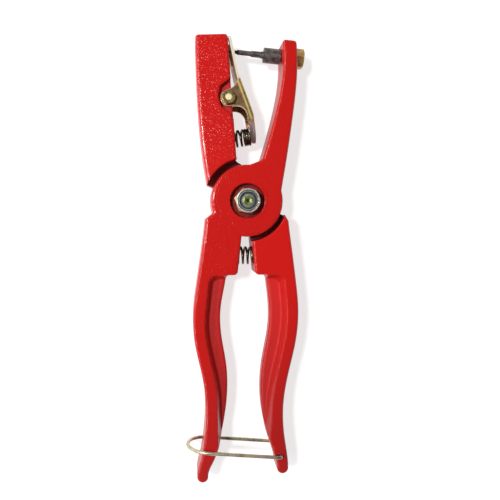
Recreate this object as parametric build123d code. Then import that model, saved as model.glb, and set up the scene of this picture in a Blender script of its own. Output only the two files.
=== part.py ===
from build123d import *
import os
from math import cos, hypot, radians, sin, sqrt, tan

# Plier-type ear tag applicator, lying on its back with the jaws closed and locked.
# Front view in XY with the jaws towards +Y and the front face towards +Z. Lengths in mm.
# Points of the outlines are measured from the pivot axis.

# Lever castings
body_thick = 21.0
disc_radius = 20.0
lap_play = 0.1
jaw_arc_gap = 3.9
grip_arc_gap = 2.6
rear_arc_gap = 1.2
edge_round = 1.4

# Jaw lever: thick jaw at the upper left, handle at the lower right
jaw_tip_outer = (-28.7, 90.7)
jaw_tip_inner = (-10.9, 91.6)
jaw_outer_curve = [(-27.8, 64.0), (-25.8, 36.0), (-21.9, 9.0)]
jaw_heel = (-5.9, disc_radius + 2.9)
jaw_heel_round = 3.6
jaw_corner_round = 1.8
right_curve = [
    (23.3, -11.2), (25.2, -26.0), (27.5, -44.0), (29.0, -61.0), (27.5, -79.0), (23.4, -97.0),
    (20.7, -114.0), (21.2, -131.0), (23.6, -147.0),
]
right_shoulder = (disc_radius + 1.1, -7.6)
right_web_curve = [
    (11.3, -41.2), (13.1, -57.0), (13.1, -70.5), (10.2, -87.5), (8.4, -105.0), (9.9, -122.5),
    (15.6, -143.0),
]
right_block_inner = [(2.2, -15.0), (4.7, -41.2)]
right_tip = (20.6, -151.0)
right_tip_radius = 3.2

# Pin lever: slim arm at the upper right, handle at the lower left
arm_outer_curve = [(27.4, 88.7), (27.8, 68.7), (25.3, 45.3), (21.3, 18.1), (disc_radius - 0.1, 10.0)]
arm_outer_foot = (disc_radius - 1.6, 0.5)
arm_inner_curve = [(19.3, 89.4), (20.1, 76.5), (17.7, 57.0), (11.9, 34.0)]
arm_crotch = [(8.4, disc_radius + 2.7), (-0.5, disc_radius - 0.8)]
arm_crotch_round = 3.2
arm_blend = 2.0
shoulder_blend = 2.0
left_curve = [
    (-23.1, -10.2), (-25.0, -26.0), (-27.6, -44.0), (-29.9, -63.0), (-28.9, -80.0), (-25.1, -97.0),
    (-23.0, -114.0), (-23.6, -131.0), (-26.2, -147.0),
]
left_shoulder = (-disc_radius + 1.5, -6.4)
left_web_curve = [
    (-11.2, -41.4), (-14.3, -60.0), (-13.9, -76.0), (-11.2, -92.0), (-10.6, -108.0), (-12.8, -126.0),
    (-19.0, -147.0),
]
left_block_inner = [(-2.6, -15.0), (-5.3, -41.4)]
left_tip = (-24.6, -154.9)
left_tip_radius = 3.1

# Both faces of the handles slope in towards the tips
taper_start = -128.0
taper_angle = 4.5

# Handle section: outer flange with a drafted inner side, and a thin web towards the palm
flange_face = 6.5
flange_draft = 19.0
web_thick = 8.0
web_round = 1.2
web_corner_round = 1.2
block_round = 2.4
flange_root_round = 4.5

# Pivot bolt and its tall lock nut
bolt_size = 8.0
hex_flats = 13.0
bolt_head = 5.3
counterbore_size = 19.3
counterbore_depth = 4.5
pivot_play = 0.05
nut_hex_height = 6.4
nut_collar_height = 3.1
nut_collar_size = 12.6
nut_turn = -10.0
insert_size = 9.8
insert_height = 2.2
insert_inset = 0.5
bolt_end_inset = 0.7
bolt_end_chamfer = 1.2

# Handle spring
handle_spring_level = -30.8
handle_spring_size = 10.5
handle_spring_wire = 1.3
handle_spring_pitch = 2.7
handle_pocket_depth = 7.5
pocket_play = 0.5

# Tag clip of folded sheet, its screw and nut
sheet = 1.5
clip_pivot = (-10.4, 56.6)
clip_line = [(-9.75, 90.2), (-5.2, 69.3), (3.1, 47.6), (4.9, 33.0)]
clip_bend_radii = (25.0, 4.0)
fork_width = 20.4
fork_notch_width = 10.4
fork_notch_depth = 15.5
ear_width = 18.0
ear_radius = 4.4
tail_width = 14.4
tail_flange = 3.2
fold_round = 1.6
ear_pocket_depth = 4.0
clip_boss_radius = 4.6
screw_size = 4.0
screw_flats = 7.0
screw_nut_height = 3.2
screw_head = 2.8
screw_play = 0.08
screw_stand_out = 0.4

# Clip spring, between the jaw and the clip's tail
clip_spring_size = 10.0
clip_spring_wire = 1.3
clip_spring_base = (-6.0, 35.2)
clip_spring_rise = 10.0
clip_spring_pitch = 2.7
clip_pocket_depth = 2.6

# Tag pin, screwed through the arm
pin_seat = (19.6, 82.2)
pin_rise = 5.0
pin_collar_size = 8.5
pin_collar_length = 9.6
pin_steps = [(4.0, 1.3), (3.5, 7.0), (2.8, 15.0), (2.0, 20.2)]
pin_stem_size = 6.0
pin_nut_flats = 10.0
pin_nut_height = 8.0
pin_nut_inset = 2.4
pin_nut_recess = 12.0
pin_stem_inset = 1.6
pin_nut_mouth = 5.2
jaw_hole_size = 8.0
jaw_hole_depth = 14.0
jaw_hole_centre = (-10.3, 84.1)

# Wire bail that locks the handles together
wire = 2.0
wire_gap = 0.6
wire_play = 0.1
bail_hole = (19.2, -143.4)
bail_room = 4.0
bail_rise = 5.3
bail_end_bend = 11.9
bail_end_depth = 9.0

bail_bend = wire / 2 + wire_gap
bail_reach = hypot(bail_hole[0] - left_tip[0], bail_hole[1] - left_tip[1]) + left_tip_radius + bail_room

z_back = wire + wire_gap
z_mid = z_back + body_thick / 2
z_front = z_back + body_thick
z_lap = z_mid - lap_play / 2


def prism(outline, low, high):
    """Straight extrusion of a flat outline between two levels."""
    return extrude(Pos(0, 0, low) * outline, amount=high - low)


def rounded(outline, point, radius):
    """Rounds the corner of a flat outline that lies at a given point."""
    corner = min(outline.vertices(), key=lambda v: (v.center() - Vector(*point)).length)
    return fillet(corner, radius)


def edges_at(solid, level):
    """Edges of a solid that lie flat at one level."""
    return solid.edges().filter_by_position(Axis.Z, level - 0.01, level + 0.01)


def turned(profile):
    """Solid of revolution about Z from half a section in the XZ plane."""
    return revolve(Plane.XZ * make_face(Polyline(*profile, close=True)), Axis.Z)


def hexagon(flats, height, chamfer_low=False, chamfer_high=True):
    """Hexagon head or nut with the corners turned off at its ends."""
    corner = flats / sqrt(3)
    reach = flats * 0.47
    fall = (corner - reach) * 0.55
    low_reach = reach if chamfer_low else corner
    high_reach = reach if chamfer_high else corner
    envelope = turned([
        (0, 0), (low_reach, 0), (corner, fall), (corner, height - fall), (high_reach, height), (0, height),
    ])
    return extrude(RegularPolygon(flats / 2, 6, major_radius=False), amount=height) & envelope


def spring(size, thickness, stretches):
    """Compression spring about Z, wound through stretches of (turns, pitch), standing on Z = 0."""
    radius = (size - thickness) / 2
    level = thickness / 2
    angle = 0.0
    winding = []
    for turns, pitch in stretches:
        winding += (Pos(0, 0, level) * Rot(0, 0, angle) * Helix(pitch, pitch * turns, radius)).edges()
        level += turns * pitch
        angle += 360.0 * turns
    path = Wire(winding)
    section = Plane(origin=path @ 0, z_dir=path % 0) * Circle(thickness / 2)
    return sweep(section, path, is_frenet=True)


def grip_outline(outer, web_curve, shoulder, block_inner, tip, tip_radius, side):
    """Outline of a handle: block beside the pivot, then flange and web down to the round tip."""
    block_foot = block_inner[1]
    tip_outer = (tip[0] + side * tip_radius, tip[1])
    tip_inner = (tip[0] - side * tip_radius, tip[1])
    outline = make_face(
        Polyline(shoulder, outer[0])
        + Spline(*outer, tip_outer, tangents=[(side * 0.1, -1), (0, -1)])
        + ThreePointArc(tip_outer, (tip[0], tip[1] - tip_radius), tip_inner)
        + Spline(tip_inner, *reversed(web_curve), tangents=[(0, 1), (-side * 0.1, 1)])
        + Polyline(web_curve[0], block_foot, block_inner[0], (0, 0), shoulder)
    )
    outline = rounded(outline, web_curve[0], web_corner_round)
    return rounded(outline, block_foot, block_round)


def palm_pocket(outer, web_curve, block_foot, side):
    """Drafted recess in front of the web, between the block and the flange."""
    depth = (body_thick - web_thick) / 2

    def section(inset):
        flange = [(x - side * (flange_face + inset), y) for x, y in outer[3:-2]]
        corner = (outer[2][0] - side * (flange_face + inset), block_foot[1] - inset)
        open_x = web_curve[0][0] - side * 12
        run_out = (web_curve[-1][0] - side * (3 + inset), web_curve[-1][1] - 4)
        outline = make_face(
            Polyline((open_x, run_out[1]), (open_x, corner[1]), corner, flange[0])
            + Spline(*flange)
            + Polyline(flange[-1], run_out, (open_x, run_out[1]))
        )
        return rounded(outline, corner, flange_root_round)

    floor_inset = depth * tan(radians(flange_draft))
    return loft([
        Pos(0, 0, z_front) * section(0), Pos(0, 0, z_front - depth) * section(floor_inset),
    ], ruled=True)


def jaw_outline():
    """Outline of the thick jaw, from its tip down to the pivot disc."""
    outline = make_face(
        Polyline((0, 0), (0, disc_radius - 0.5), jaw_heel, jaw_tip_inner, jaw_tip_outer)
        + Spline(jaw_tip_outer, *jaw_outer_curve)
        + Line(jaw_outer_curve[-1], (0, 0))
    )
    outline = rounded(outline, jaw_heel, jaw_heel_round)
    outline = rounded(outline, jaw_tip_inner, jaw_corner_round)
    return rounded(outline, jaw_tip_outer, jaw_corner_round)


def arm_outline():
    """Outline of the slim arm that carries the tag pin."""
    outline = make_face(
        Spline(*arm_inner_curve)
        + Polyline(arm_inner_curve[-1], *arm_crotch, (0, 0), arm_outer_foot, arm_outer_curve[-1])
        + Spline(*reversed(arm_outer_curve))
        + Line(arm_outer_curve[0], arm_inner_curve[0])
    )
    outline = rounded(outline, arm_crotch[0], arm_crotch_round)
    outline = rounded(outline, arm_outer_curve[0], jaw_corner_round)
    return rounded(outline, arm_inner_curve[0], jaw_corner_round)


def along(origin, angle, level):
    """Plane at a point of the front view whose normal runs in the view at an angle from +X."""
    direction = (cos(radians(angle)), sin(radians(angle)), 0)
    return Plane(origin=(*origin, level), x_dir=(0, 0, 1), z_dir=direction)


def bored(solid, size, origin, angle, depth):
    """Round hole or counterbore drilled in the plane of the front view."""
    return solid - along(origin, angle, z_mid) * extrude(Circle(size / 2), amount=depth)


def lever_blank(outline, blends):
    """Casting of a lever, its handle thinner towards the tip, with blended corners and round edges."""
    for point, radius in blends:
        outline = rounded(outline, point, radius)
    end = left_tip[1] - 2 * left_tip_radius
    fall = (taper_start - end) * tan(radians(taper_angle))
    top = jaw_tip_inner[1] + 2 * jaw_corner_round
    side_view = make_face(Polyline(
        (top, z_back), (top, z_front), (taper_start, z_front), (end, z_front - fall),
        (end, z_back + fall), (taper_start, z_back), close=True))
    blank = prism(outline, z_back, z_front) & extrude(Plane.YZ * side_view, amount=3 * disc_radius, both=True)
    rims = [e for e in blank.edges() if abs((e % 0.5).Z) < 0.2 and e.length > 0.01]
    rims = [e for e in rims if abs((e @ 0).Y - taper_start) > 0.01 or abs((e @ 1).Y - taper_start) > 0.01]
    return fillet(rims, edge_round)


def with_pockets(solid, outer, web_curve, block_foot, side):
    """Cuts the palm recess from both faces and rounds the web's free edge."""
    pocket = palm_pocket(outer, web_curve, block_foot, side)
    solid = solid - pocket - mirror(pocket, Plane.XY.offset(z_mid))
    free = []
    for level in (z_mid - web_thick / 2, z_mid + web_thick / 2):
        curves = edges_at(solid, level).filter_by(GeomType.BSPLINE)
        free.append(min(curves, key=lambda e: side * e.center().X))
    return fillet(free, web_round)


def ear_pocket():
    """Outline of the recess that the clip's ears swing in, open on the jaw's inner side."""
    x, y = clip_pivot
    outline = make_face(Polyline(
        (x + 0.9, y + 10.8), (x - 4.9, y + 6.2), (x - 5.6, y + 0.8), (x - 4.2, y - 5.0),
        (x + 0.8, y - 8.6), (x + 3.4, y - 12.6), (x + 14, y - 12.6), (x + 14, y + 10.8), close=True,
    ))
    outline = rounded(outline, (x - 4.9, y + 6.2), 1.6)
    outline = rounded(outline, (x - 4.2, y - 5.0), 3.0)
    return rounded(outline, (x - 5.6, y + 0.8), 3.0)


def clip_spring_seat():
    """Foot of the clip spring, at the bottom of its pocket in the jaw."""
    angle = radians(clip_spring_rise)
    return (
        clip_spring_base[0] - clip_pocket_depth * cos(angle),
        clip_spring_base[1] - clip_pocket_depth * sin(angle),
    )


def make_jaw_lever():
    """Casting with the jaw, the rear half of the lap joint and the right handle."""
    jaw = jaw_outline()
    grip = grip_outline(
        right_curve, right_web_curve, right_shoulder, right_block_inner, right_tip, right_tip_radius, 1)
    lever = lever_blank(jaw + grip + Circle(disc_radius), [])
    upper = Pos(0, 50) * Rectangle(100, 100)
    room = (Circle(disc_radius + jaw_arc_gap) & upper) + (Circle(disc_radius + grip_arc_gap) - upper)
    lever = lever - prism(room, z_lap, z_front + 1)
    lever = with_pockets(lever, right_curve, right_web_curve, right_block_inner[1], 1)

    boss = prism(Pos(*clip_pivot) * Circle(clip_boss_radius), z_back, z_front)
    recess = ear_pocket()
    lever = lever + boss
    lever = lever - prism(recess, z_front - ear_pocket_depth, z_front + 1)
    lever = lever - prism(recess, z_back - 1, z_back + ear_pocket_depth)
    lever = lever - prism(Pos(*clip_pivot) * Circle(screw_size / 2 + screw_play), z_back, z_front)

    lever = bored(lever, jaw_hole_size, jaw_hole_centre, 180, jaw_hole_depth)
    lever = lever - along(jaw_hole_centre, 0, z_mid) * extrude(Circle(jaw_hole_size / 2), amount=4)
    seat = clip_spring_seat()
    lever = bored(lever, clip_spring_size + 2 * pocket_play, seat, clip_spring_rise, 12)
    block_face = right_block_inner[0][0]
    lever = bored(
        lever, handle_spring_size + 2 * pocket_play, (block_face - 2, handle_spring_level), 0,
        handle_pocket_depth + 2 + 0.7)

    lever = lever - prism(Circle(bolt_size / 2 + pivot_play), z_back - 1, z_front)
    lever = lever - prism(Circle(counterbore_size / 2), z_back - 1, z_back + counterbore_depth)
    hole = Pos(*bail_hole) * Circle(wire / 2 + wire_play)
    return lever - prism(hole, z_back - 1, z_front + 1)


def make_pin_lever():
    """Casting with the pin arm, the front half of the lap joint and the left handle."""
    arm = arm_outline()
    grip = grip_outline(
        left_curve, left_web_curve, left_shoulder, left_block_inner, left_tip, left_tip_radius, -1)
    arm_root = (disc_radius * cos(radians(17)), disc_radius * sin(radians(17)))
    crotch_root = (disc_radius * cos(radians(85)), disc_radius * sin(radians(85)))
    lever = lever_blank(arm + grip + Circle(disc_radius), [
        (left_shoulder, shoulder_blend), (arm_root, arm_blend), (crotch_root, arm_blend),
    ])
    lever = lever - prism(Circle(disc_radius + rear_arc_gap), z_back - 1, z_lap + lap_play)
    lever = with_pockets(lever, left_curve, left_web_curve, left_block_inner[1], -1)

    lever = bored(lever, pin_stem_size + 2 * screw_play, pin_seat, -pin_rise, 20)
    lever = bored(lever, pin_collar_size + 2 * screw_play, pin_seat, 180 - pin_rise, pin_collar_length)
    wall = arm_outer_curve[0][0] - pin_seat[0] - pin_nut_inset
    nut_seat = pin_point(-wall)
    lever = bored(lever, pin_nut_recess, nut_seat, -pin_rise, 20)
    block_face = left_block_inner[0][0]
    lever = bored(
        lever, handle_spring_size + 2 * pocket_play, (block_face + 2, handle_spring_level), 180,
        handle_pocket_depth + 2 + 1.4)

    lever = lever - prism(Circle(bolt_size / 2 + pivot_play), z_back, z_front + 1)
    return lever - prism(Circle(counterbore_size / 2), z_front - counterbore_depth, z_front + 1)


def pin_point(distance):
    """Point on the tag pin's axis, measured from the arm's inner face towards the jaw."""
    angle = radians(180 - pin_rise)
    return (pin_seat[0] + distance * cos(angle), pin_seat[1] + distance * sin(angle))


def make_pivot_bolt():
    """Hex bolt: head in the rear counterbore, chamfered end inside the nut's collar."""
    seat = z_back + counterbore_depth
    end = z_front - counterbore_depth + lap_play + nut_hex_height + nut_collar_height - bolt_end_inset
    radius = bolt_size / 2
    shank = turned([
        (0, seat - 1), (radius, seat - 1), (radius, end - bolt_end_chamfer),
        (radius - bolt_end_chamfer, end), (bolt_end_chamfer / 2, end), (0, end - bolt_end_chamfer / 2),
    ])
    return shank + Pos(0, 0, seat) * Rot(180, 0, 0) * hexagon(hex_flats, bolt_head)


def make_pivot_nut():
    """Tall lock nut: hexagon, round collar and the groove that holds the insert."""
    bore = bolt_size / 2 + pivot_play
    top = nut_hex_height + nut_collar_height
    collar = turned([
        (0, nut_hex_height - 1), (nut_collar_size / 2, nut_hex_height - 1),
        (nut_collar_size / 2, top - 0.9), (nut_collar_size / 2 - 0.9, top), (0, top),
    ])
    nut = Rot(0, 0, nut_turn) * hexagon(hex_flats, nut_hex_height) + collar
    nut = nut - prism(Circle(bore), -1, top + 1)
    return nut - prism(Circle(insert_size / 2), top - insert_inset - insert_height, top + 1)


def make_nut_insert():
    """Nylon ring that grips the bolt's thread."""
    low = nut_hex_height + nut_collar_height - insert_inset - insert_height
    return prism(Circle(insert_size / 2) - Circle(bolt_size / 2 + pivot_play), low, low + insert_height)


def make_handle_spring():
    """Compression spring across the gap between the two handle blocks."""
    face_gap = right_block_inner[0][0] - left_block_inner[0][0]
    length = face_gap + 2 * handle_pocket_depth
    active = (length - 3 * handle_spring_wire) / handle_spring_pitch
    form = spring(handle_spring_size, handle_spring_wire, [
        (1, handle_spring_wire), (active, handle_spring_pitch), (1, handle_spring_wire),
    ])
    start = (left_block_inner[0][0] - handle_pocket_depth, handle_spring_level)
    return along(start, 0, z_mid) * form


def clip_outer_line(inset):
    """Side line of the clip's back, moved inwards from the sheet's outer face."""
    shift = sheet / 2 - inset
    points = [(x + shift, y) for x, y in clip_line]
    return FilletPolyline(*points, radius=clip_bend_radii)


def clip_region():
    """Side outline of the clip: back, ears and the flanges along the tail."""
    x, y = clip_pivot
    outer = clip_outer_line(0)
    inner = clip_outer_line(sheet * 1.04)
    back = make_face(outer + inner + Line(outer @ 0, inner @ 0) + Line(outer @ 1, inner @ 1))
    apex = (clip_line[1][0] + 0.2, clip_line[1][1] - 2.2)
    neck = (x + ear_radius * cos(radians(112)), y + ear_radius * sin(radians(112)))
    knee = (clip_line[2][0] - tail_flange + 0.6, clip_line[2][1] - 1.4)
    tail = (clip_line[2][0] + 0.9, clip_line[2][1] - 6.6)
    ear = make_face(
        Spline(apex, (x + 2.7, y + 6.4), neck, tangents=[(-0.6, -1), (-1, -0.45)])
        + ThreePointArc(neck, (x - ear_radius, y), (x, y - ear_radius))
        + Line((x, y - ear_radius), (x + 4.6, y - ear_radius + 0.1))
        + Spline((x + 4.6, y - ear_radius + 0.1), (x + 9.0, y - 6.0), knee, tangents=[(1, 0), (0.05, -1)])
        + Polyline(knee, (knee[0] + 0.6, knee[1] - 3.4), tail)
        + Polyline(tail, clip_line[2], clip_line[1], apex)
    )
    return back + ear


def clip_plan(inset):
    """Outline of the clip seen along X: fork, ears and the narrower round tail."""
    fork = fork_width / 2 - inset
    ear = ear_width / 2 - inset
    tail = tail_width / 2 - inset
    ear_top = clip_line[1][1] - 3.0
    ear_foot = clip_line[2][1] + 4.0
    tail_top = clip_line[2][1] - 3.0
    end = clip_line[3][1] + tail_width / 2
    tip = clip_line[0][1] + 5
    side = [(tip, fork), (ear_top + 4.5, fork), (ear_top, ear), (ear_foot, ear), (tail_top, tail), (end, tail)]
    plan = make_face(
        Polyline(*[(y, w) for y, w in side])
        + ThreePointArc((end, tail), (end - tail, 0), (end, -tail))
        + Polyline(*[(y, -w) for y, w in reversed(side)])
        + Line((tip, -fork), (tip, fork))
    )
    return Plane(origin=(-40, 0, z_mid), x_dir=(0, 1, 0), z_dir=(1, 0, 0)) * plan


def make_tag_clip():
    """Channel of folded sheet: forked front, two ears on the screw and a flanged tail."""
    region = clip_region()
    clip = prism(region, z_mid - fork_width / 2, z_mid + fork_width / 2) & extrude(clip_plan(0), amount=80)
    inner = clip_outer_line(sheet)
    hollow = make_face(
        inner + Polyline(inner @ 0, (-30, (inner @ 0).Y), (-30, (inner @ 1).Y - 5), inner @ 1)
    )
    cavity = prism(hollow, z_mid - fork_width / 2, z_mid + fork_width / 2)
    clip = clip - (cavity & extrude(clip_plan(sheet), amount=80))

    top = clip_line[0][1]
    half = fork_notch_width / 2
    notch_end = top - fork_notch_depth + half
    notch = make_face(
        Polyline((notch_end, half), (top + 6, half), (top + 6, -half), (notch_end, -half))
        + ThreePointArc((notch_end, -half), (notch_end - half, 0), (notch_end, half))
    )
    notch = Plane(origin=(-40, 0, z_mid), x_dir=(0, 1, 0), z_dir=(1, 0, 0)) * notch
    clip = clip - extrude(notch, amount=80)
    hole = Pos(*clip_pivot) * Circle(screw_size / 2 + screw_play)
    return clip - prism(hole, z_back, z_front)


def make_clip_screw():
    """Hex screw that the clip turns on, head at the back."""
    seat = z_mid - ear_width / 2
    end = z_mid + ear_width / 2 + screw_nut_height + screw_stand_out
    radius = screw_size / 2
    shank = turned([
        (0, seat - 1), (radius, seat - 1), (radius, end - 0.5), (radius - 0.5, end), (0, end),
    ])
    return Pos(*clip_pivot) * (shank + Pos(0, 0, seat) * Rot(180, 0, 0) * hexagon(screw_flats, screw_head))


def make_clip_nut():
    """Hex nut on the clip screw, in front of the ear."""
    nut = hexagon(screw_flats, screw_nut_height, chamfer_low=True)
    nut = nut - prism(Circle(screw_size / 2 + screw_play / 2), -1, screw_nut_height + 1)
    return Pos(*clip_pivot, z_mid + ear_width / 2) * Rot(0, 0, 12) * nut


def clip_spring_length():
    """Distance from the spring's foot to the inner face of the clip's tail."""
    seat = clip_spring_seat()
    slope = (clip_line[3][0] - clip_line[2][0]) / (clip_line[3][1] - clip_line[2][1])
    rise = tan(radians(clip_spring_rise))
    x, y = seat
    tail_x = clip_line[2][0] - sheet / 2
    reach = (tail_x + slope * (y - clip_line[2][1]) - x) / (1 - slope * rise)
    return reach / cos(radians(clip_spring_rise))


def make_clip_spring():
    """Compression spring from the jaw's pocket to the clip's tail, close-wound at the tail."""
    closed = 2.4
    length = clip_spring_length() - 0.2
    open_turns = (length - (closed + 2) * clip_spring_wire) / clip_spring_pitch
    form = spring(clip_spring_size, clip_spring_wire, [
        (1, clip_spring_wire), (open_turns, clip_spring_pitch), (closed, clip_spring_wire),
    ])
    return along(clip_spring_seat(), clip_spring_rise, z_mid) * form


def make_tag_pin():
    """Turned pin: threaded stem through the arm, collar, and a stepped point for the tag."""
    collar = pin_collar_size / 2
    wall = arm_outer_curve[0][0] - pin_seat[0] - pin_nut_inset
    stem = -(wall + pin_nut_height - pin_stem_inset)
    profile = [(0, stem), (pin_stem_size / 2 - 0.6, stem), (pin_stem_size / 2, stem + 0.6)]
    profile += [(pin_stem_size / 2, 0.0), (collar, 0.0), (collar, pin_collar_length - 0.3)]
    profile += [(collar - 0.3, pin_collar_length)]
    for size, reach in pin_steps:
        start = profile[-1][1]
        profile += [(size / 2, start), (size / 2, pin_collar_length + reach)]
    last = pin_steps[-1][0] / 2
    profile[-1] = (last, pin_collar_length + pin_steps[-1][1] - last)
    profile += [(last * 0.7, profile[-1][1] + last * 0.7), (last * 0.3, profile[-1][1] + last)]
    profile += [(0, profile[-1][1])]
    return along(pin_seat, 180 - pin_rise, z_mid) * turned(profile)


def make_pin_nut():
    """Hex nut on the pin's stem, sunk in the arm's outer face, with an open threaded end."""
    nut = hexagon(pin_nut_flats, pin_nut_height)
    mouth = pin_nut_height - pin_stem_inset
    nut = nut - prism(Circle(pin_stem_size / 2 + screw_play / 2), -1, mouth)
    nut = nut - prism(Circle(pin_nut_mouth / 2), mouth - 1, pin_nut_height + 1)
    wall = arm_outer_curve[0][0] - pin_seat[0] - pin_nut_inset
    return along(pin_point(-wall), -pin_rise, z_mid) * nut


def make_wire_bail():
    """Bent wire loop, both ends hooked into the hole near the right handle's tip."""
    low = z_back - wire_gap - wire / 2
    high = z_front + wire_gap + wire / 2
    angle = radians(180 - bail_rise)
    far = (bail_hole[0] + bail_reach * cos(angle), bail_hole[1] + bail_reach * sin(angle))
    path = FilletPolyline(
        (*bail_hole, z_front - bail_end_depth), (*bail_hole, high), (*far, high),
        (*far, low), (*bail_hole, low), (*bail_hole, z_back + bail_end_depth),
        radius=(bail_bend, bail_end_bend, bail_end_bend, bail_bend),
    )
    section = Plane(origin=path @ 0, z_dir=path % 0) * Circle(wire / 2)
    return sweep(section, path)


nut_base = Pos(0, 0, z_front - counterbore_depth + lap_play)
parts = {
    "jaw_lever": make_jaw_lever(),
    "pin_lever": make_pin_lever(),
    "pivot_bolt": make_pivot_bolt(),
    "pivot_nut": nut_base * make_pivot_nut(),
    "nut_insert": nut_base * make_nut_insert(),
    "handle_spring": make_handle_spring(),
    "tag_clip": make_tag_clip(),
    "clip_screw": make_clip_screw(),
    "clip_nut": make_clip_nut(),
    "clip_spring": make_clip_spring(),
    "tag_pin": make_tag_pin(),
    "pin_nut": make_pin_nut(),
    "wire_bail": make_wire_bail(),
}

# The origin is the middle of the tool's footprint, on the surface it lies on
boxes = [piece.bounding_box() for piece in parts.values()]
middle_x = (min(b.min.X for b in boxes) + max(b.max.X for b in boxes)) / 2
middle_y = (min(b.min.Y for b in boxes) + max(b.max.Y for b in boxes)) / 2
os.makedirs("parts", exist_ok=True)
for name, piece in parts.items():
    export_step(Pos(-middle_x, -middle_y, 0) * piece, f"parts/{name}.step")
print("origin", round(middle_x, 3), round(middle_y, 3))
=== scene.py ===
from math import cos, pi, radians, sin

import bpy
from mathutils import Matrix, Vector


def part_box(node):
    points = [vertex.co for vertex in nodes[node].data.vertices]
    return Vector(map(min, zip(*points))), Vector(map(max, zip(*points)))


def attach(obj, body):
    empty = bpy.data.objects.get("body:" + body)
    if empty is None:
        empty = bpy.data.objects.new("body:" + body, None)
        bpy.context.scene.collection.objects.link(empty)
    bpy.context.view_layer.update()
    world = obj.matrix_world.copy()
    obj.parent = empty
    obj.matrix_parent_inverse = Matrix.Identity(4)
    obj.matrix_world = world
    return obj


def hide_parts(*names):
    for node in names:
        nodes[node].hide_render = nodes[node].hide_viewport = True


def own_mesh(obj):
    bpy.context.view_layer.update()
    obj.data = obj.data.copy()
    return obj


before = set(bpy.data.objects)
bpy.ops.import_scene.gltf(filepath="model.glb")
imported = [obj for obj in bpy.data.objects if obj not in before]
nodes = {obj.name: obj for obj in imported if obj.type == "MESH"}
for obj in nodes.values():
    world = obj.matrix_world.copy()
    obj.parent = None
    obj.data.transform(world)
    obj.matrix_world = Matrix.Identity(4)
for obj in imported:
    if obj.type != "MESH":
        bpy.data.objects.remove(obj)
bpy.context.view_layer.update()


# Jaw lever
# The heavier of the two aluminium castings: jaw, rear half of the lap joint and right handle in one piece. It
# is sprayed with red hammer enamel, which crawls into fine beads on the broad jaw and lies smooth on the
# handle. The gap of the lap joint is painted nearly black, a painted shade.
class Value:
    """A socket that carries a number over a surface. Arithmetic on it adds Math nodes."""

    def __init__(self, tree, socket):
        self.tree, self.socket = tree, socket

    def node(self, kind, settings=None, inputs=None, output=0):
        """Adds any other node: its settings first, then the values or links of its sockets."""
        made = self.tree.nodes.new(kind)
        for key, value in (settings or {}).items():
            if key == "stops":
                ramp = made.color_ramp
                while len(ramp.elements) < len(value):
                    ramp.elements.new(0.5)
                for element, (position, colour) in zip(ramp.elements, value):
                    element.position, element.color = position, colour
            else:
                setattr(made, key, value)
        for key, value in (inputs or {}).items():
            if isinstance(value, Value):
                self.tree.links.new(value.socket, made.inputs[key])
            else:
                made.inputs[key].default_value = value
        return Value(self.tree, made.outputs[output])

    def maths(self, operation, *terms):
        """Math node on the terms given, which have to name the value itself where it takes part."""
        return self.node("ShaderNodeMath", {"operation": operation}, dict(enumerate(terms)))

    def __add__(self, other):
        return self.maths("ADD", self, other)

    def __radd__(self, other):
        return self.maths("ADD", other, self)

    def __sub__(self, other):
        return self.maths("SUBTRACT", self, other)

    def __rsub__(self, other):
        return self.maths("SUBTRACT", other, self)

    def __mul__(self, other):
        return self.maths("MULTIPLY", self, other)

    def __rmul__(self, other):
        return self.maths("MULTIPLY", other, self)

    def __pow__(self, other):
        return self.maths("POWER", self, other)

    def off(self, middle):
        """How far the value is from a middle value, either way."""
        return self.maths("ABSOLUTE", self - middle)

    def or_else(self, other):
        """The larger of two masks."""
        return self.maths("MAXIMUM", self, other)

    def step(self, low, high):
        """Smooth rise from 0 to 1 as the value goes from low to high."""
        return self.node(
            "ShaderNodeMapRange", {"interpolation_type": "SMOOTHSTEP"},
            {"Value": self, "From Min": low, "From Max": high})

    def noise(self, size, detail=2.0, rough=0.5):
        """Soft noise whose lumps are about one size, in metres, across. Used on a place."""
        return self.node(
            "ShaderNodeTexNoise", None,
            {"Vector": self, "Scale": 1 / size, "Detail": detail, "Roughness": rough})

    def dots(self, size):
        """0 at points scattered about one size apart, rising to about 0.6 between them. Used on a place."""
        return self.node("ShaderNodeTexVoronoi", None, {"Vector": self, "Scale": 1 / size})

    def mixed(self, low, high):
        """Colour between two colours, each a triple or a socket, by this value."""
        factor, first, second, result = 0, 6, 7, 2
        low, high = (end if isinstance(end, Value) else (*end, 1) for end in (low, high))
        return self.node(
            "ShaderNodeMix", {"data_type": "RGBA", "clamp_factor": True},
            {factor: self, first: low, second: high}, output=result)


def tint(*on_screen):
    """Linear colour from the red, green and blue, 0 to 255, that it has on a screen."""
    return tuple(((c / 255 + 0.055) / 1.055) ** 2.4 if c > 10 else c / 255 / 12.92 for c in on_screen)


def start_finish(name, **uniform):
    """New material. Its uniform settings go on the shader's own sockets."""
    material = bpy.data.materials.new(name)
    material.use_nodes = True
    tree = material.node_tree
    shader = tree.nodes["Principled BSDF"]
    for socket, value in uniform.items():
        shader.inputs[socket.replace("_", " ")].default_value = value
    place = Value(tree, None).node("ShaderNodeTexCoord", output="Object")
    return material, shader, place


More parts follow.
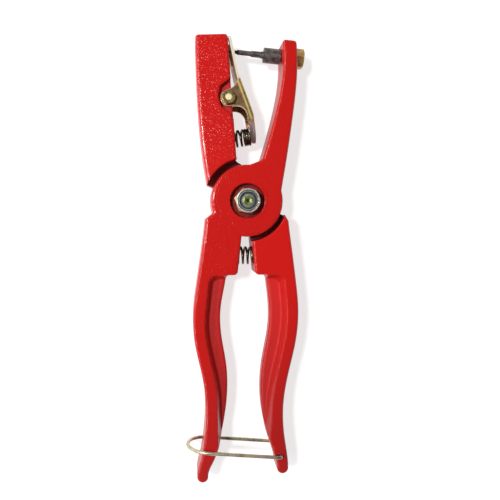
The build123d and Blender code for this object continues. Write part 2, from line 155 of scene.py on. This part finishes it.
def surface(shader, place, colour=None, roughness=None, height=None, depth=0.0, metallic=None, edge=None):
    """Links what varies over a surface. A bump has its height times its depth, in metres, and edge is the
    radius, in metres, that paint or tumbling leaves on the corners."""
    for socket, value in (("Base Color", colour), ("Roughness", roughness), ("Metallic", metallic)):
        if value is not None:
            place.tree.links.new(value.socket, shader.inputs[socket])
    if height is not None:
        inputs = {"Strength": 1.0, "Distance": depth, "Height": height}
        if edge is not None:
            inputs["Normal"] = place.node("ShaderNodeBevel", {"samples": 6}, {"Radius": edge})
        bump = place.node("ShaderNodeBump", None, inputs)
        place.tree.links.new(bump.socket, shader.inputs["Normal"])


def dress(node, material):
    """Gives a node of the frame its material."""
    target = nodes[node]
    target.data.materials.clear()
    target.data.materials.append(material)


def part_of(place, axis):
    """One coordinate of a place, in metres."""
    return place.node("ShaderNodeSeparateXYZ", None, {"Vector": place}, output=axis)


def distance_from(place, centre):
    """Distance, in metres, from an upright axis through a point."""
    across, along = part_of(place, 0) - centre[0], part_of(place, 1) - centre[1]
    return (across * across + along * along) ** 0.5


pivot_centre = (0.000301, 0.033243)
hollow_shade_red = tint(168, 12, 12)
bead_glint_paint = tint(246, 112, 104)
enamel_edge = 0.0016
lap_gap_shade = tint(46, 2, 6)

hammered, shader, place = start_finish(
    "hammered_red_enamel", Coat_Weight=0.2, Coat_Roughness=0.07, IOR=1.42)
on_jaw = part_of(place, 1).step(0.036, 0.070)
near_bead = place.dots(0.00105)
fine_bead = place.dots(0.0008)
crawl = place.noise(0.0026, 2.0, 0.6)
bead = 1 - near_bead.step(0.0, 0.5)
# Painted highlight: coral glints are laid into the colour on the jaw's beads.
speck = (1 - near_bead.step(0.12, 0.30)) * crawl.step(0.34, 0.58) * on_jaw
# Painted shade: the hollows between the jaw's beads are darkened.
bead_hollow_shade = near_bead.step(0.42, 0.66) * on_jaw
height_up, from_pivot = part_of(place, 2), distance_from(place, pivot_centre)
below_rims = height_up.step(0.0028, 0.0056) * (1 - height_up.step(0.0206, 0.0232))
# Painted shade: the red darkens toward the end of the handle.
handle_shade = 1 - part_of(place, 1).step(-0.112, 0.005)
# Painted shade: the gap of the lap joint is darkened to a nearly black red.
lap_shade_mask = (1 - from_pivot.step(0.0232, 0.0240)) * height_up.step(0.0126, 0.0130)
lap_shade_mask = lap_shade_mask * (1 - height_up.step(0.0205, 0.0228))
peel = place.noise(0.0013, 2.0)
tone = place.noise(0.03, 1.0)
base = (handle_shade * 0.8).mixed(tone.mixed(tint(207, 20, 16), tint(214, 25, 20)), tint(166, 27, 26))
beaded = (speck * 0.6).mixed((bead_hollow_shade * 0.25).mixed(base, hollow_shade_red), bead_glint_paint)
surface(
    shader, place,
    colour=(lap_shade_mask * 0.8).mixed(beaded, lap_gap_shade),
    roughness=0.15 + 0.06 * peel + 0.03 * on_jaw + 0.3 * below_rims,
    height=bead * (0.1 + 0.9 * on_jaw) + (1 - fine_bead) * 0.35 * on_jaw + peel * 0.5,
    depth=0.00008,
    edge=enamel_edge)
dress("jaw_lever", hammered)


# Pin lever
# The second casting, with the slim arm that carries the pin, the front half of the lap joint and the left
# handle. It has the same red enamel, which went on smoother here, with only a light orange peel.
gloss, shader, place = start_finish("gloss_red_enamel", Coat_Weight=0.2, Coat_Roughness=0.06, IOR=1.42)
peel = place.noise(0.0013, 2.0, 0.55)
runs = 1 - place.dots(0.0012).step(0.0, 0.45)
waves = place.noise(0.006, 1.0)
tone = place.noise(0.04, 1.0)
dust = place.noise(0.0008, 2.0).step(0.68, 0.76)
from_pivot = distance_from(place, pivot_centre)
# Painted shade: the counterbore round the nut is painted a blotchy dark red.
in_recess = (1 - from_pivot.step(0.0121, 0.0125)) * (1 - part_of(place, 2).step(0.0215, 0.0229))
height_up = part_of(place, 2)
below_rims = height_up.step(0.0028, 0.0056) * (1 - height_up.step(0.0206, 0.0232))
# Painted shade: the red darkens toward the end of the handle.
handle_shade = 1 - part_of(place, 1).step(-0.118, -0.02)
# Painted shade: the gap of the lap joint is darkened to a nearly black red here too.
lap_shade_mask = (1 - from_pivot.step(0.0232, 0.0240)) * (1 - height_up.step(0.0131, 0.0135))
lap_shade_mask = lap_shade_mask * height_up.step(0.0034, 0.0057) * from_pivot.step(0.0205, 0.0212)
recess_shade_noise = place.noise(0.0022, 3.0, 0.6)
base = (handle_shade * 0.7).mixed(tone.mixed(tint(198, 20, 16), tint(206, 25, 20)), tint(176, 30, 30))
base = (dust * 0.3).mixed(base, tint(228, 70, 64))
recess_shade = recess_shade_noise.step(0.35, 0.7).mixed(tint(84, 4, 10), tint(160, 22, 26))
surface(
    shader, place,
    colour=(lap_shade_mask * 0.8).mixed((in_recess * 0.9).mixed(base, recess_shade), lap_gap_shade),
    roughness=0.13 + 0.06 * peel + 0.2 * in_recess + 0.3 * below_rims,
    height=peel * 0.5 + runs * 0.6 + waves * 0.8,
    depth=0.00012,
    edge=enamel_edge)
dress("pin_lever", gloss)


# Pivot bolt
# Hex bolt of plated steel, put in from the back. Its chamfered end shows inside the lock nut, with the
# yellow-green bloom of its passivation.
bloomed, shader, place = start_finish("yellow_green_passivated_steel")
cloud = place.noise(0.0026, 3.0, 0.6)
turned_marks = place.noise(0.0004, 2.0)
from_pivot = distance_from(place, pivot_centre)
at_end = part_of(place, 2).step(0.0262, 0.0266)
bevelled = from_pivot.step(0.0027, 0.0030)
# Painted shade: the centre dimple of the bolt's end is painted dark; it is also pressed in by the bump.
centre_dimple_and_shade = 1 - from_pivot.step(0.0005, 0.0016)
ring = 1 - from_pivot.off(0.0021).step(0.0, 0.00035)
bloom = cloud.step(0.36, 0.64).mixed(tint(128, 142, 82), tint(186, 194, 134))
end_face = (centre_dimple_and_shade * 0.85).mixed((ring * 0.35).mixed(bloom, tint(96, 108, 52)), tint(72, 76, 30))
surface(
    shader, place,
    colour=(bevelled * at_end).mixed(end_face, cloud.mixed(tint(176, 180, 166), tint(222, 222, 206))),
    roughness=0.26 + 0.2 * turned_marks,
    metallic=1 - 0.55 * bevelled * at_end,
    height=turned_marks * 0.1 - centre_dimple_and_shade * at_end + ring * 0.3,
    depth=0.0005)
dress("pivot_bolt", bloomed)


# Pivot nut
# Tall lock nut of zinc plated steel: a hexagon in the counterbore, with a bright rolled collar above it.
plated, shader, place = start_finish("zinc_plated_steel")
height_up = part_of(place, 2)
from_pivot = distance_from(place, pivot_centre)
collar = height_up.step(0.02563, 0.02575)
rolled = height_up.step(0.0276, 0.0279)
# Painted shade: a dark line is painted in the crease inside the rolled collar; it is also a groove in the
# bump.
crease_and_shade = 1 - from_pivot.off(0.0055).step(0.0001, 0.00034)
inner_lip = 1 - from_pivot.step(0.0050, 0.0053)
cloud = place.noise(0.0021, 3.0, 0.6)
scratch = place.noise(0.0005, 3.0)
hexagon = cloud.step(0.35, 0.65).mixed(tint(140, 104, 60), tint(214, 172, 116))
lip = cloud.step(0.3, 0.7).mixed(tint(176, 172, 158), tint(244, 238, 222))
lip = (inner_lip * 0.6).mixed(lip, tint(120, 138, 140))
surface(
    shader, place,
    colour=collar.mixed(hexagon, (crease_and_shade * rolled * 0.85).mixed(lip, tint(52, 58, 60))),
    roughness=0.34 - 0.1 * collar + 0.2 * scratch,
    metallic=0.65 + 0.35 * collar - 0.35 * rolled,
    height=scratch * 0.12 - crease_and_shade * rolled,
    depth=0.0004)
dress("pivot_nut", plated)

lip_profile = (
    (6.25, 26.60), (6.42, 26.95), (6.60, 27.35), (6.68, 27.75), (6.66, 28.10), (6.54, 28.38), (6.32, 28.58),
    (6.05, 28.67), (5.78, 28.64), (5.56, 28.50), (5.42, 28.30), (5.36, 28.00), (5.80, 27.30))
lip_turns, mm = 128, 0.001
rolled_lip = bpy.data.meshes.new("nut_rolled_lip")
points, faces = [], []
for turn in range(lip_turns):
    angle = 2 * pi * turn / lip_turns
    for reach, level in lip_profile:
        across = pivot_centre[0] + reach * mm * cos(angle)
        along = pivot_centre[1] + reach * mm * sin(angle)
        points.append((across, along, level * mm))
rows = len(lip_profile)
for turn in range(lip_turns):
    after = (turn + 1) % lip_turns
    for row in range(rows):
        beyond = (row + 1) % rows
        faces.append((turn * rows + row, after * rows + row, after * rows + beyond, turn * rows + beyond))
rolled_lip.from_pydata(points, [], faces)
rolled_lip.polygons.foreach_set("use_smooth", [True] * len(faces))
rolled_lip.materials.append(plated)
lip_ring = bpy.data.objects.new("nut_rolled_lip", rolled_lip)
bpy.context.scene.collection.objects.link(lip_ring)
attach(lip_ring, "jaw_side")


# Nut insert
# The ring of dark blue nylon that the collar is rolled over, and that grips the bolt's thread.
nylon, shader, place = start_finish("dark_blue_nylon", IOR=1.5)
grain = place.noise(0.0007, 2.0)
surface(
    shader, place, colour=grain.mixed(tint(14, 24, 40), tint(36, 52, 72)), roughness=0.35 + 0.15 * grain,
    height=grain, depth=0.00008)
dress("nut_insert", nylon)


# Handle spring
# Compression spring of hard-drawn wire between the two handle blocks. It is blackened and a little oily.
drawn, shader, place = start_finish("blackened_spring_wire", Metallic=1.0)
lay = place.noise(0.0009, 3.0, 0.6)
surface(
    shader, place, colour=lay.step(0.35, 0.7).mixed(tint(46, 42, 32), tint(160, 152, 122)),
    roughness=0.2 + 0.2 * lay, height=lay, depth=0.00005)

wire_thickness = 0.0013
open_pitch = 0.0027


def coil(name, foot, rise, size, stretches):
    """Round wire wound about a line that starts at a point and rises by an angle across the tool, with one
    (turns, pitch) for each of its stretches."""
    reach, sides, steps = (size - wire_thickness) / 2, 12, 36
    heights, level, turned = [], wire_thickness / 2, 0.0
    for turns, pitch in stretches:
        count = round(turns * steps)
        for step in range(count):
            heights.append((turned + step / count * turns, level + step / count * turns * pitch))
        turned, level = turned + turns, level + turns * pitch
    heights.append((turned, level))
    across, side = Vector((cos(rise), sin(rise), 0)), Vector((-sin(rise), cos(rise), 0))
    up = Vector((0, 0, 1))
    points, faces = [], []
    for turns, level in heights:
        angle = 2 * pi * turns
        out = side * cos(angle) + up * sin(angle)
        middle = Vector(foot) + across * level + out * reach
        for corner in range(sides):
            around = 2 * pi * corner / sides
            points.append(middle + wire_thickness / 2 * (out * cos(around) + across * sin(around)))
    for row in range(len(heights) - 1):
        for corner in range(sides):
            here, after = row * sides, (corner + 1) % sides
            faces.append((here + corner, here + after, here + sides + after, here + sides + corner))
    faces.append(tuple(range(sides))[::-1])
    faces.append(tuple(range(len(points) - sides, len(points))))
    mesh = bpy.data.meshes.new(name)
    mesh.from_pydata(points, [], faces)
    mesh.polygons.foreach_set("use_smooth", [len(face) == 4 for face in faces])
    mesh.materials.append(drawn)
    wound = bpy.data.objects.new(name, mesh)
    bpy.context.scene.collection.objects.link(wound)
    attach(wound, "jaw_side")
    return wound


low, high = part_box("handle_spring")
handle_coil_size = 0.0105
middle = ((low[1] + high[1]) / 2, (low[2] + high[2]) / 2)
open_turns = (high[0] - low[0] - 3 * wire_thickness) / open_pitch
handle_coil = coil(
    "handle_coil", (low[0], *middle), 0.0, handle_coil_size,
    [(1, wire_thickness), (open_turns, open_pitch), (1, wire_thickness)])
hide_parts("handle_spring")
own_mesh(handle_coil)


# Tag clip
# Channel folded from sheet steel and plated with yellow zinc, which shows olive, gold and pink by turns. Its
# fork holds the female tag on the jaw. Its left-facing cut edges and highest top faces are painted near
# white, and the bend of its ear bright yellow, as painted highlights.
zinc, shader, place = start_finish("yellow_zinc_sheet")
facing = part_of(place.node("ShaderNodeTexCoord", output="Normal"), 2)
rounded_normal = place.node("ShaderNodeBevel", {"samples": 8}, {"Radius": 0.0016})
rounded_up, rounded_right = part_of(rounded_normal, 2), part_of(rounded_normal, 0)
height_up, along = part_of(place, 2), part_of(place, 1)
bloom = place.noise(0.009, 2.0, 0.55)
stain = place.noise(0.003, 4.0, 0.6)
rolled = place.noise(0.0006, 3.0)
on_ear = height_up.step(0.0203, 0.0207)
on_tail = 1 - along.step(0.073, 0.080)
# Painted highlight: the bend of the ear, picked out by its rounded normals, and a stripe along the fold are
# painted bright yellow with less metal.
turned = on_ear * (1 - rounded_up.step(0.72, 0.96)) * (1 - on_tail)
from_fold = (part_of(place, 0) + 0.0049) * 0.934 + (along - 0.1025) * 0.357
fold_stripe_highlight = (1 - from_fold.off(-0.0011).step(0.0003, 0.0008)) * on_ear * (1 - along.step(0.100, 0.104))
fold_stripe_highlight = fold_stripe_highlight * (1 - on_tail)
fold_highlight = (turned * rounded_right.step(0.10, 0.30)).or_else(fold_stripe_highlight * 0.9)
# Painted highlight: the ear's left-facing cut edges and the clip's highest upward faces are painted near
# white with less metal.
edge_highlight = turned * (1 - rounded_right.step(-0.05, 0.15)) * 0.8
edge_highlight = edge_highlight + height_up.step(0.0223, 0.0226) * facing.step(0.8, 0.95)
sheet = bloom.step(0.38, 0.62).mixed(tint(150, 122, 84), tint(204, 166, 112))
sheet = (stain.step(0.46, 0.66) * 0.75).mixed(sheet, tint(178, 128, 116))
sheet = (on_tail * 0.85).mixed(sheet, tint(150, 134, 132))
sheet = (fold_highlight * 0.85).mixed(sheet, tint(232, 212, 118))
surface(
    shader, place,
    colour=edge_highlight.mixed(sheet, stain.mixed(tint(250, 232, 196), tint(255, 250, 232))),
    roughness=0.24 + 0.2 * stain + 0.3 * on_tail,
    metallic=1 - 0.55 * edge_highlight - 0.65 * fold_highlight - 0.3 * on_tail,
    height=rolled * 0.6 + stain,
    depth=0.00006)
dress("tag_clip", zinc)


# Clip screw and nut
# M4 screw that the clip turns on, and its nut on the front ear. Both are zinc plated. The nut is stained
# brown, and the screw's end face is painted near white.
bright, shader, place = start_finish("bright_zinc_steel")
scratch = place.noise(0.0006, 3.0)
end_mask = part_of(place, 2).step(0.0252, 0.0254)
surface(
    shader, place,
    colour=end_mask.mixed(scratch.mixed(tint(140, 122, 84), tint(190, 172, 128)), tint(255, 244, 200)),
    roughness=0.3 + 0.2 * scratch,
    metallic=1 - 0.4 * end_mask,
    height=scratch,
    depth=0.00008)
dress("clip_screw", bright)

stained, shader, place = start_finish("stained_zinc_steel", Metallic=1.0)
scratch = place.noise(0.0006, 3.0)
rust = place.noise(0.0024, 3.0, 0.6)
surface(
    shader, place,
    colour=rust.step(0.34, 0.66).mixed(tint(104, 84, 46), tint(180, 150, 92)),
    roughness=0.26 + 0.2 * scratch,
    height=scratch,
    depth=0.00008)
dress("clip_nut", stained)


# Clip spring
# Compression spring of the same blackened wire, close-wound where it lies in the clip's tail.
clip_coil_foot = (-0.00826, 0.06799, 0.0131)
clip_coil_length, clip_coil_size, clip_coil_rise = 0.01142, 0.0100, radians(10)
close_turns = 2.4
open_turns = (clip_coil_length - (close_turns + 2) * wire_thickness) / open_pitch
clip_coil = coil(
    "clip_coil", clip_coil_foot, clip_coil_rise, clip_coil_size,
    [(1, wire_thickness), (open_turns, open_pitch), (close_turns, wire_thickness)])
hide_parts("clip_spring")
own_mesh(clip_coil)


# Tag pin
# Turned from tool steel, hardened and phosphated nearly black. Its stepped point goes up the male tag's
# hollow stem as far as the collar.
phosphated, shader, place = start_finish("phosphated_steel", Metallic=0.7)
rings = place.noise(0.0005, 3.0)
rub = place.noise(0.0022, 3.0, 0.6)
surface(
    shader, place, colour=rub.step(0.34, 0.66).mixed(tint(78, 73, 72), tint(126, 119, 115)),
    roughness=0.34 + 0.2 * rings, height=rings + rub, depth=0.0001)
dress("tag_pin", phosphated)


# Pin nut
# Hex nut on the pin's stem, plated a warmer yellow than the clip, sunk in the arm's outer side.
golden, shader, place = start_finish("golden_zinc_steel", Metallic=0.85)
haze = place.noise(0.003, 3.0, 0.6)
scratch = place.noise(0.0006, 3.0)
surface(
    shader, place, colour=haze.step(0.34, 0.66).mixed(tint(186, 142, 84), tint(232, 192, 124)),
    roughness=0.28 + 0.2 * scratch, height=scratch, depth=0.00008)
dress("pin_nut", golden)


# Wire bail
# Loop of drawn steel wire, hooked into a hole near the right handle's tip, that holds the handles together.
wire, shader, place = start_finish("drawn_steel_wire", Metallic=1.0)
drawing = place.noise(0.0012, 3.0)
colours = place.noise(0.012, 2.0, 0.5)
plating = colours.step(0.42, 0.60).mixed(tint(164, 164, 118), tint(214, 196, 170))
plating = (1 - colours.step(0.34, 0.46)).mixed(plating, tint(140, 124, 128))
surface(
    shader, place, colour=(drawing.step(0.3, 0.7) * 0.3).mixed(plating, tint(240, 236, 228)),
    roughness=0.32 + 0.16 * drawing, height=drawing, depth=0.00004)
dress("wire_bail", wire)


# Floor, light and camera
# A white table that keeps the tool's soft shadow, a small key light from the upper left, a long bank and a
# low strip on the left that draw the bright lines on the left edges, and a pale room.
floor_mesh = bpy.data.meshes.new("table_top")
floor_mesh.from_pydata([(-6, -6, 0), (6, -6, 0), (6, 6, 0), (-6, 6, 0)], [], [(0, 1, 2, 3)])
table_top = bpy.data.objects.new("table_top", floor_mesh)
bpy.context.scene.collection.objects.link(table_top)
white, shader, place = start_finish("white_table", Roughness=0.9)
camera_ray, glossy_ray, clear_ray = (
    place.node("ShaderNodeLightPath", output=name)
    for name in ("Is Camera Ray", "Is Glossy Ray", "Is Transmission Ray"))
seen = camera_ray + glossy_ray + clear_ray
speck = place.noise(0.2, 1.0)
plain = speck.mixed((0.93, 0.93, 0.93), (0.95, 0.95, 0.95))
surface(shader, place, colour=seen.mixed(plain, (0.45, 0.45, 0.45)))
glow = seen.mixed((0, 0, 0), (0.72, 0.72, 0.72))
place.tree.links.new(glow.socket, shader.inputs["Emission Color"])
shader.inputs["Emission Strength"].default_value = 1.0
floor_mesh.materials.append(white)

room = bpy.data.worlds.new("pale_room")
room.use_nodes = True
background = room.node_tree.nodes["Background"]
direction = Value(room.node_tree, None).node("ShaderNodeTexCoord", output="Generated")
walls_to_ceiling = direction.node("ShaderNodeValToRGB", {"stops": (
    (0.0, (0.94, 0.94, 0.94, 1)), (0.14, (0.80, 0.80, 0.80, 1)), (0.30, (0.34, 0.34, 0.34, 1)),
    (0.60, (0.12, 0.12, 0.12, 1)))}, {"Fac": part_of(direction, 2)})
room.node_tree.links.new(walls_to_ceiling.socket, background.inputs["Color"])
background.inputs["Strength"].default_value = 1.0
bpy.context.scene.world = room


def soft_box(name, place, aim, width, height, power):
    """Rectangular area light that faces a point."""
    lamp = bpy.data.lights.new(name, "AREA")
    lamp.shape, lamp.size, lamp.size_y, lamp.energy = "RECTANGLE", width, height, power
    holder = bpy.data.objects.new(name, lamp)
    holder.location = place
    holder.rotation_euler = (Vector(aim) - Vector(place)).to_track_quat("-Z", "Y").to_euler()
    bpy.context.scene.collection.objects.link(holder)


soft_box("key", (-0.47, 0.16, 1.1), (0, 0, 0), 0.11, 0.11, 8.3)
soft_box("left_bank", (-0.72, 0.05, 0.72), (0, 0, 0), 1.2, 0.13, 4.4)
soft_box("left_strip", (-0.70, 0.02, 0.13), (0, 0, 0.01), 0.9, 0.14, 0.35)

camera = bpy.data.objects.new("camera", bpy.data.cameras.new("camera"))
camera.data.lens, camera.data.sensor_width = 40.93, 36.0
camera.data.shift_x, camera.data.shift_y = 0.0325, -0.0294
camera.location = (-0.03248, 0.02155, 0.33632)
camera.rotation_euler = (-0.02374, -0.08055, 0.0006)
bpy.context.scene.collection.objects.link(camera)
bpy.context.scene.camera = camera
bpy.context.scene.view_settings.view_transform = "Standard"
